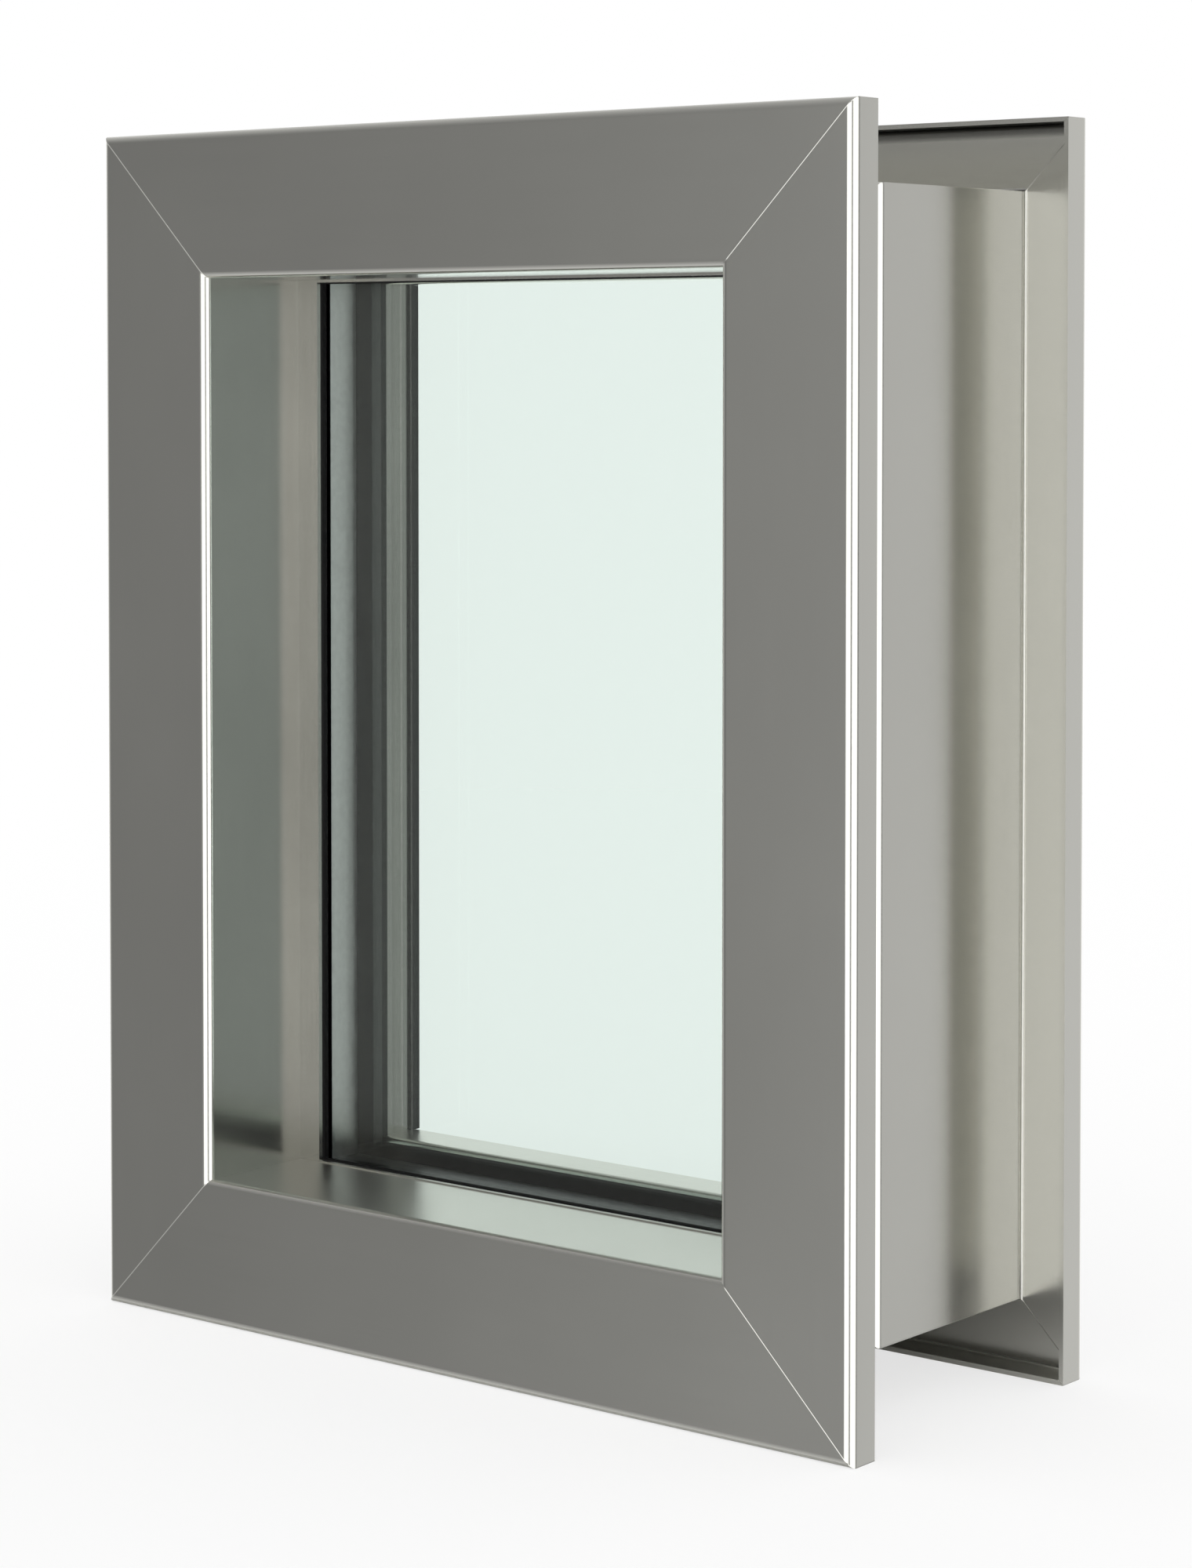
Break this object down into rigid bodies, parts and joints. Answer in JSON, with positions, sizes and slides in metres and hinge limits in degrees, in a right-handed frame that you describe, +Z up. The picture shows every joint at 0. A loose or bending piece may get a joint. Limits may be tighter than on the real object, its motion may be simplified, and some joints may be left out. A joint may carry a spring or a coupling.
{
  "type": "fixed internal window",
  "caption": "Fixed rectangular window with a folded steel frame that clasps a wall from both sides round a sealed double-glazed pane.",
  "frame": {"origin": "middle of the underside, level with the bottom lips", "axes": "+X right and -Y towards the viewer in front of the front casing, +Z up"},
  "size_m": [0.39, 0.16, 0.5],
  "materials": {
    "brushed_stainless": "fine satin grain along each side",
    "black_rubber": "matt extruded rubber",
    "spacer_metal": "mill finish",
    "edge_sealant": "tooled sealant",
    "clear_glass": "polished float glass",
    "block_plastic": "moulded"
  },
  "bodies": {
    "root": {"front_casing_bottom": "brushed_stainless", "front_casing_left": "brushed_stainless", "front_casing_right": "brushed_stainless", "front_casing_top": "brushed_stainless", "box_frame_bottom": "brushed_stainless", "box_frame_left": "brushed_stainless", "box_frame_right": "brushed_stainless", "box_frame_top": "brushed_stainless", "rear_bead_bottom": "brushed_stainless", "rear_bead_left": "brushed_stainless", "rear_bead_right": "brushed_stainless", "rear_bead_top": "brushed_stainless", "fixing_angle_bottom": "brushed_stainless", "fixing_angle_left": "brushed_stainless", "fixing_angle_right": "brushed_stainless", "fixing_angle_top": "brushed_stainless", "front_gasket_bottom": "black_rubber", "front_gasket_left": "black_rubber", "front_gasket_right": "black_rubber", "front_gasket_top": "black_rubber", "rear_gasket_bottom": "black_rubber", "rear_gasket_left": "black_rubber", "rear_gasket_right": "black_rubber", "rear_gasket_top": "black_rubber", "spacer_bar_bottom": "spacer_metal", "spacer_bar_left": "spacer_metal", "spacer_bar_right": "spacer_metal", "spacer_bar_top": "spacer_metal", "edge_seal_bottom": "edge_sealant", "edge_seal_left": "edge_sealant", "edge_seal_right": "edge_sealant", "edge_seal_top": "edge_sealant", "front_pane": "clear_glass", "rear_pane": "clear_glass", "setting_block_left": "block_plastic", "setting_block_right": "block_plastic"}
  },
  "joints": []
}
